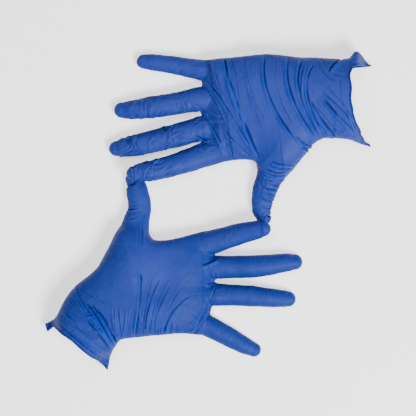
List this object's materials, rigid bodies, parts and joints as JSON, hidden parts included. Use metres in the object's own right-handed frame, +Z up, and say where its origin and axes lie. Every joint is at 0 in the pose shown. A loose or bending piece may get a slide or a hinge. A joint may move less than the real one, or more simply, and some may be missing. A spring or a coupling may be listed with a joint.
{
  "type": "pair of disposable gloves",
  "caption": "Pair of thin blue nitrile gloves lying flat, one back up and one palm up, thumbs and index fingers framing a rectangle.",
  "frame": {"origin": "on the table, under the middle of the pair", "axes": "+Z up from the table; +X from the left glove's cuff towards its fingertips; +Y from the left glove to the right glove"},
  "size_m": [0.2808, 0.2666, 0.0398],
  "materials": {
    "nitrile_film": "satin",
    "nitrile_bead": "satin"
  },
  "bodies": {
    "left_hand": {"left_hand_shell": "nitrile_film"},
    "right_hand": {"right_hand_shell": "nitrile_film"},
    "left_index_lower": {"left_index_stall": "nitrile_film"},
    "left_index_end": {"left_index_tip": "nitrile_film"},
    "left_middle_lower": {"left_middle_stall": "nitrile_film"},
    "left_middle_end": {"left_middle_tip": "nitrile_film"},
    "left_ring_lower": {"left_ring_stall": "nitrile_film"},
    "left_ring_end": {"left_ring_tip": "nitrile_film"},
    "left_little_lower": {"left_little_stall": "nitrile_film"},
    "left_little_end": {"left_little_tip": "nitrile_film"},
    "left_thumb_lower": {"left_thumb_stall": "nitrile_film"},
    "left_thumb_end": {"left_thumb_tip": "nitrile_film"},
    "left_cuff": {"left_cuff": "nitrile_film", "left_cuff_bead": "nitrile_bead"},
    "right_little_lower": {"right_little_stall": "nitrile_film"},
    "right_little_end": {"right_little_tip": "nitrile_film"},
    "right_ring_lower": {"right_ring_stall": "nitrile_film"},
    "right_ring_end": {"right_ring_tip": "nitrile_film"},
    "right_middle_lower": {"right_middle_stall": "nitrile_film"},
    "right_middle_end": {"right_middle_tip": "nitrile_film"},
    "right_index_lower": {"right_index_stall": "nitrile_film"},
    "right_index_end": {"right_index_tip": "nitrile_film"},
    "right_thumb_lower": {"right_thumb_stall": "nitrile_film"},
    "right_thumb_end": {"right_thumb_tip": "nitrile_film"},
    "right_cuff": {"right_cuff": "nitrile_film", "right_cuff_bead": "nitrile_bead"}
  },
  "joints": [
    {"name": "right_glove_slide", "type": "slide", "parent": "left_hand", "child": "right_hand", "axis": [0, 1, 0], "range_m": [0, 0.08]},
    {"name": "left_index_root", "type": "hinge", "parent": "left_hand", "child": "left_index_lower", "pos_m": [-0.00158, -0.03078, 0.0158], "axis": [0.2637, -0.9646, 0], "range_deg": [0, 80]},
    {"name": "left_index_mid", "type": "hinge", "parent": "left_index_lower", "child": "left_index_end", "pos_m": [0.02512, -0.02348, 0.01946], "axis": [0.2265, -0.974, 0], "range_deg": [0, 48]},
    {"name": "left_middle_root", "type": "hinge", "parent": "left_hand", "child": "left_middle_lower", "pos_m": [0.00272, -0.05188, 0.01647], "axis": [0.0448, -0.999, 0], "range_deg": [0, 80]},
    {"name": "left_middle_mid", "type": "hinge", "parent": "left_middle_lower", "child": "left_middle_end", "pos_m": [0.04062, -0.05018, 0.01412], "axis": [0.0663, -0.9978, 0], "range_deg": [0, 48]},
    {"name": "left_ring_root", "type": "hinge", "parent": "left_hand", "child": "left_ring_lower", "pos_m": [0.00192, -0.07468, 0.01546], "axis": [-0.0539, -0.9985, 0], "range_deg": [0, 80]},
    {"name": "left_ring_mid", "type": "hinge", "parent": "left_ring_lower", "child": "left_ring_end", "pos_m": [0.03712, -0.07658, 0.01446], "axis": [-0.0581, -0.9983, 0], "range_deg": [0, 48]},
    {"name": "left_little_root", "type": "hinge", "parent": "left_hand", "child": "left_little_lower", "pos_m": [-0.00068, -0.10048, 0.01479], "axis": [-0.5026, -0.8645, 0], "range_deg": [0, 80]},
    {"name": "left_little_mid", "type": "hinge", "parent": "left_little_lower", "child": "left_little_end", "pos_m": [0.02082, -0.11298, 0.01345], "axis": [-0.47, -0.8827, 0], "range_deg": [0, 48]},
    {"name": "left_thumb_root", "type": "hinge", "parent": "left_hand", "child": "left_thumb_lower", "pos_m": [-0.0514, -0.02613, 0.00836], "axis": [0, 0, -1], "range_deg": [0, 40]},
    {"name": "left_thumb_mid", "type": "hinge", "parent": "left_thumb_lower", "child": "left_thumb_end", "pos_m": [-0.05078, 0.00048, 0.00627], "axis": [0, 0, -1], "range_deg": [0, 40]},
    {"name": "left_wrist", "type": "hinge", "parent": "left_hand", "child": "left_cuff", "pos_m": [-0.09698, -0.08928, 0.033], "axis": [-0.8423, 0.5391, 0], "range_deg": [0, 60]},
    {"name": "right_little_root", "type": "hinge", "parent": "right_hand", "child": "right_little_lower", "pos_m": [-0.00498, 0.11912, 0.01412], "axis": [0.1876, 0.9822, 0], "range_deg": [0, 35]},
    {"name": "right_little_mid", "type": "hinge", "parent": "right_little_lower", "child": "right_little_end", "pos_m": [-0.03168, 0.12422, 0], "axis": [0.1573, 0.9876, 0], "range_deg": [-35, 0]},
    {"name": "right_ring_root", "type": "hinge", "parent": "right_hand", "child": "right_ring_lower", "pos_m": [-0.00588, 0.09282, 0.01647], "axis": [-0.1291, 0.9916, 0], "range_deg": [0, 35]},
    {"name": "right_ring_mid", "type": "hinge", "parent": "right_ring_lower", "child": "right_ring_end", "pos_m": [-0.04198, 0.08812, 0], "axis": [-0.1191, 0.9929, 0], "range_deg": [-35, 0]},
    {"name": "right_middle_root", "type": "hinge", "parent": "right_hand", "child": "right_middle_lower", "pos_m": [-0.00498, 0.06802, 0.0163], "axis": [-0.2356, 0.9719, 0], "range_deg": [0, 35]},
    {"name": "right_middle_mid", "type": "hinge", "parent": "right_middle_lower", "child": "right_middle_end", "pos_m": [-0.04458, 0.05842, 0], "axis": [-0.2044, 0.9789, 0], "range_deg": [-35, 0]},
    {"name": "right_index_root", "type": "hinge", "parent": "right_hand", "child": "right_index_lower", "pos_m": [-0.00238, 0.04592, 0.01681], "axis": [-0.3084, 0.9513, 0], "range_deg": [0, 35]},
    {"name": "right_index_mid", "type": "hinge", "parent": "right_index_lower", "child": "right_index_end", "pos_m": [-0.03508, 0.03532, 0.007], "axis": [-0.2438, 0.9698, 0], "range_deg": [-35, 0]},
    {"name": "right_thumb_root", "type": "hinge", "parent": "right_hand", "child": "right_thumb_lower", "pos_m": [0.04374, 0.03871, 0.0085], "axis": [0, 0, -1], "range_deg": [0, 40]},
    {"name": "right_thumb_mid", "type": "hinge", "parent": "right_thumb_lower", "child": "right_thumb_end", "pos_m": [0.03724, 0.01253, 0.00649], "axis": [0, 0, -1], "range_deg": [0, 40]},
    {"name": "right_wrist", "type": "hinge", "parent": "right_hand", "child": "right_cuff", "pos_m": [0.08732, 0.09252, 0.034], "axis": [0.0995, -0.995, 0], "range_deg": [0, 60]}
  ],
  "couplings": [
    {"joint": "left_index_mid", "follows": "left_index_root", "ratio": 0.6},
    {"joint": "left_middle_mid", "follows": "left_middle_root", "ratio": 0.6},
    {"joint": "left_ring_mid", "follows": "left_ring_root", "ratio": 0.6},
    {"joint": "left_little_mid", "follows": "left_little_root", "ratio": 0.6},
    {"joint": "left_thumb_mid", "follows": "left_thumb_root", "ratio": 1},
    {"joint": "right_little_mid", "follows": "right_little_root", "ratio": -1},
    {"joint": "right_ring_mid", "follows": "right_ring_root", "ratio": -1},
    {"joint": "right_middle_mid", "follows": "right_middle_root", "ratio": -1},
    {"joint": "right_index_mid", "follows": "right_index_root", "ratio": -1},
    {"joint": "right_thumb_mid", "follows": "right_thumb_root", "ratio": 1}
  ]
}
